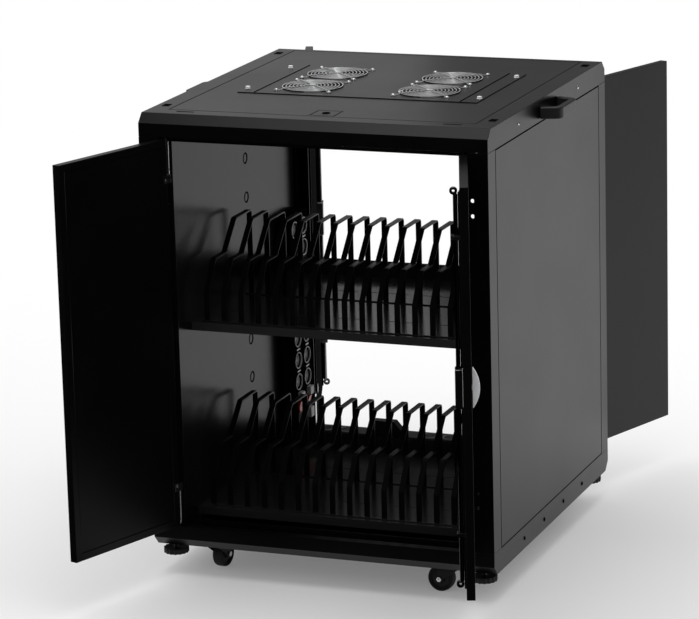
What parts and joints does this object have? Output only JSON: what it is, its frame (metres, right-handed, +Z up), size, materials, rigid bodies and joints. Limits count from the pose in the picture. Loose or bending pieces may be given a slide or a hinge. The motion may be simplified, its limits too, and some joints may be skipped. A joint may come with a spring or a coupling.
{
  "type": "laptop charging cart",
  "caption": "Wheeled steel cabinet for charging laptops, with double doors front and rear, divided shelves, socket strips, fans in the top, swivel casters and levelling feet.",
  "frame": {"origin": "on the floor under the middle of the cabinet", "axes": "+Z up, front doors towards -Y, +X to the right seen from the front"},
  "size_m": [0.7874, 1.2352, 0.8845],
  "materials": {
    "black_coat": "satin black powder coat",
    "grey_coat": "semi-gloss dark grey powder coat",
    "chrome": "bright plated",
    "zinc": "zinc plated",
    "silver": "satin silver",
    "black_plastic": "fine moulded grain",
    "rubber": "matt",
    "red_plastic": "glossy"
  },
  "bodies": {
    "cabinet": {"base_frame": "black_coat", "top_frame": "black_coat", "front_frame": "black_coat", "rear_frame": "black_coat", "side_panel_left": "black_coat", "side_panel_right": "black_coat", "side_handle_left": "black_plastic", "side_handle_right": "black_plastic", "inner_wall_left": "grey_coat", "inner_wall_right": "grey_coat", "upper_shelf": "grey_coat", "lower_shelf": "grey_coat", "upper_dividers": "grey_coat", "lower_dividers": "grey_coat", "fan_plate": "black_coat", "fan_frame_1": "chrome", "fan_frame_2": "chrome", "fan_frame_3": "chrome", "fan_frame_4": "chrome", "power_strip_1": "black_plastic", "power_strip_2": "black_plastic", "rear_power_unit": "black_plastic"},
    "front_left_door": {"front_left_door": "black_coat", "front_left_upper_hinge": "chrome", "front_left_lower_hinge": "chrome"},
    "front_right_door": {"front_right_door": "black_coat", "front_right_upper_hinge": "chrome", "front_right_lower_hinge": "chrome", "front_lock_body": "zinc"},
    "front_lock_handle": {"front_lock_handle": "silver"},
    "front_upper_rod": {"front_upper_rod": "zinc"},
    "front_lower_rod": {"front_lower_rod": "zinc"},
    "rear_left_door": {"rear_left_door": "black_coat", "rear_left_upper_hinge": "chrome", "rear_left_lower_hinge": "chrome", "rear_lock_body": "zinc"},
    "rear_lock_handle": {"rear_lock_handle": "silver"},
    "rear_upper_rod": {"rear_upper_rod": "zinc"},
    "rear_lower_rod": {"rear_lower_rod": "zinc"},
    "rear_right_door": {"rear_right_door": "black_coat", "rear_right_upper_hinge": "chrome", "rear_right_lower_hinge": "chrome"},
    "caster_fork_front_left": {"caster_fork_front_left": "black_coat"},
    "caster_wheel_front_left": {"caster_wheel_front_left": "rubber"},
    "caster_fork_front_right": {"caster_fork_front_right": "black_coat"},
    "caster_wheel_front_right": {"caster_wheel_front_right": "rubber"},
    "caster_fork_rear_left": {"caster_fork_rear_left": "black_coat"},
    "caster_wheel_rear_left": {"caster_wheel_rear_left": "rubber"},
    "caster_fork_rear_right": {"caster_fork_rear_right": "black_coat"},
    "caster_wheel_rear_right": {"caster_wheel_rear_right": "rubber"},
    "levelling_foot_front_left": {"levelling_foot_front_left": "black_plastic"},
    "levelling_foot_front_right": {"levelling_foot_front_right": "black_plastic"},
    "levelling_foot_rear_left": {"levelling_foot_rear_left": "black_plastic"},
    "levelling_foot_rear_right": {"levelling_foot_rear_right": "black_plastic"},
    "fan_rotor_1": {"fan_rotor_1": "black_plastic"},
    "fan_rotor_2": {"fan_rotor_2": "black_plastic"},
    "fan_rotor_3": {"fan_rotor_3": "black_plastic"},
    "fan_rotor_4": {"fan_rotor_4": "black_plastic"},
    "strip_switch_1": {"strip_switch_1": "red_plastic"},
    "strip_switch_2": {"strip_switch_2": "red_plastic"}
  },
  "joints": [
    {"name": "front_left_door_hinge", "type": "hinge", "parent": "cabinet", "child": "front_left_door", "pos_m": [-0.28601, -0.3465, 0.476], "axis": [0, 0, -1], "range_deg": [-109.2, 1.8]},
    {"name": "front_right_door_hinge", "type": "hinge", "parent": "cabinet", "child": "front_right_door", "pos_m": [0.28601, -0.3465, 0.476], "axis": [0, 0, 1], "range_deg": [-109.2, 1.8]},
    {"name": "front_lock_turn", "type": "hinge", "parent": "front_right_door", "child": "front_lock_handle", "pos_m": [0.37036, -0.58874, 0.476], "axis": [0.9444, 0.3289, 0], "range_deg": [0, 90]},
    {"name": "front_upper_rod_slide", "type": "slide", "parent": "front_right_door", "child": "front_upper_rod", "axis": [0, 0, 1], "range_m": [0, 0.024]},
    {"name": "front_lower_rod_slide", "type": "slide", "parent": "front_right_door", "child": "front_lower_rod", "axis": [0, 0, -1], "range_m": [0, 0.024]},
    {"name": "rear_left_door_hinge", "type": "hinge", "parent": "cabinet", "child": "rear_left_door", "pos_m": [-0.28601, 0.3465, 0.476], "axis": [0, 0, 1], "range_deg": [-109.2, 1.8]},
    {"name": "rear_lock_turn", "type": "hinge", "parent": "rear_left_door", "child": "rear_lock_handle", "pos_m": [-0.37036, 0.58874, 0.476], "axis": [-0.9444, -0.3289, 0], "range_deg": [0, 90]},
    {"name": "rear_upper_rod_slide", "type": "slide", "parent": "rear_left_door", "child": "rear_upper_rod", "axis": [0, 0, 1], "range_m": [0, 0.024]},
    {"name": "rear_lower_rod_slide", "type": "slide", "parent": "rear_left_door", "child": "rear_lower_rod", "axis": [0, 0, -1], "range_m": [0, 0.024]},
    {"name": "rear_right_door_hinge", "type": "hinge", "parent": "cabinet", "child": "rear_right_door", "pos_m": [0.28601, 0.3465, 0.476], "axis": [0, 0, -1], "range_deg": [-109.2, 1.8]},
    {"name": "caster_swivel_front_left", "type": "hinge", "parent": "cabinet", "child": "caster_fork_front_left", "pos_m": [-0.235, -0.295, 0.056], "axis": [0, 0, 1], "continuous": true},
    {"name": "caster_roll_front_left", "type": "hinge", "parent": "caster_fork_front_left", "child": "caster_wheel_front_left", "pos_m": [-0.2318, -0.27222, 0.025], "axis": [-0.9903, 0.1392, 0], "continuous": true},
    {"name": "caster_swivel_front_right", "type": "hinge", "parent": "cabinet", "child": "caster_fork_front_right", "pos_m": [0.235, -0.295, 0.056], "axis": [0, 0, 1], "continuous": true},
    {"name": "caster_roll_front_right", "type": "hinge", "parent": "caster_fork_front_right", "child": "caster_wheel_front_right", "pos_m": [0.21206, -0.2934, 0.025], "axis": [-0.0698, -0.9976, 0], "continuous": true},
    {"name": "caster_swivel_rear_left", "type": "hinge", "parent": "cabinet", "child": "caster_fork_rear_left", "pos_m": [-0.235, 0.295, 0.056], "axis": [0, 0, 1], "continuous": true},
    {"name": "caster_roll_rear_left", "type": "hinge", "parent": "caster_fork_rear_left", "child": "caster_wheel_rear_left", "pos_m": [-0.25661, 0.28713, 0.025], "axis": [0.342, -0.9397, 0], "continuous": true},
    {"name": "caster_swivel_rear_right", "type": "hinge", "parent": "cabinet", "child": "caster_fork_rear_right", "pos_m": [0.235, 0.295, 0.056], "axis": [0, 0, 1], "continuous": true},
    {"name": "caster_roll_rear_right", "type": "hinge", "parent": "caster_fork_rear_right", "child": "caster_wheel_rear_right", "pos_m": [0.2465, 0.31492, 0.025], "axis": [-0.866, 0.5, 0], "continuous": true},
    {"name": "foot_screw_front_left", "type": "slide", "parent": "cabinet", "child": "levelling_foot_front_left", "axis": [0, 0, 1], "range_m": [-0.037, 0.007]},
    {"name": "foot_screw_front_right", "type": "slide", "parent": "cabinet", "child": "levelling_foot_front_right", "axis": [0, 0, 1], "range_m": [-0.037, 0.007]},
    {"name": "foot_screw_rear_left", "type": "slide", "parent": "cabinet", "child": "levelling_foot_rear_left", "axis": [0, 0, 1], "range_m": [-0.037, 0.007]},
    {"name": "foot_screw_rear_right", "type": "slide", "parent": "cabinet", "child": "levelling_foot_rear_right", "axis": [0, 0, 1], "range_m": [-0.037, 0.007]},
    {"name": "fan_spin_1", "type": "hinge", "parent": "cabinet", "child": "fan_rotor_1", "pos_m": [-0.116, -0.0395, 0.858], "axis": [0, 0, 1], "continuous": true},
    {"name": "fan_spin_2", "type": "hinge", "parent": "cabinet", "child": "fan_rotor_2", "pos_m": [0.116, -0.0395, 0.858], "axis": [0, 0, 1], "continuous": true},
    {"name": "fan_spin_3", "type": "hinge", "parent": "cabinet", "child": "fan_rotor_3", "pos_m": [-0.116, 0.0915, 0.858], "axis": [0, 0, 1], "continuous": true},
    {"name": "fan_spin_4", "type": "hinge", "parent": "cabinet", "child": "fan_rotor_4", "pos_m": [0.116, 0.0915, 0.858], "axis": [0, 0, 1], "continuous": true},
    {"name": "switch_rock_1", "type": "hinge", "parent": "cabinet", "child": "strip_switch_1", "pos_m": [-0.281, 0.246, 0.169], "axis": [0, 1, 0], "range_deg": [-12, 0]},
    {"name": "switch_rock_2", "type": "hinge", "parent": "cabinet", "child": "strip_switch_2", "pos_m": [-0.281, 0.293, 0.169], "axis": [0, 1, 0], "range_deg": [-12, 0]}
  ],
  "couplings": [
    {"joint": "front_lock_turn", "follows": "front_upper_rod_slide", "rad_per_m": 65.443},
    {"joint": "front_lower_rod_slide", "follows": "front_upper_rod_slide", "ratio": 0.9999},
    {"joint": "rear_lock_turn", "follows": "rear_upper_rod_slide", "rad_per_m": 65.443},
    {"joint": "rear_lower_rod_slide", "follows": "rear_upper_rod_slide", "ratio": 0.9999}
  ]
}
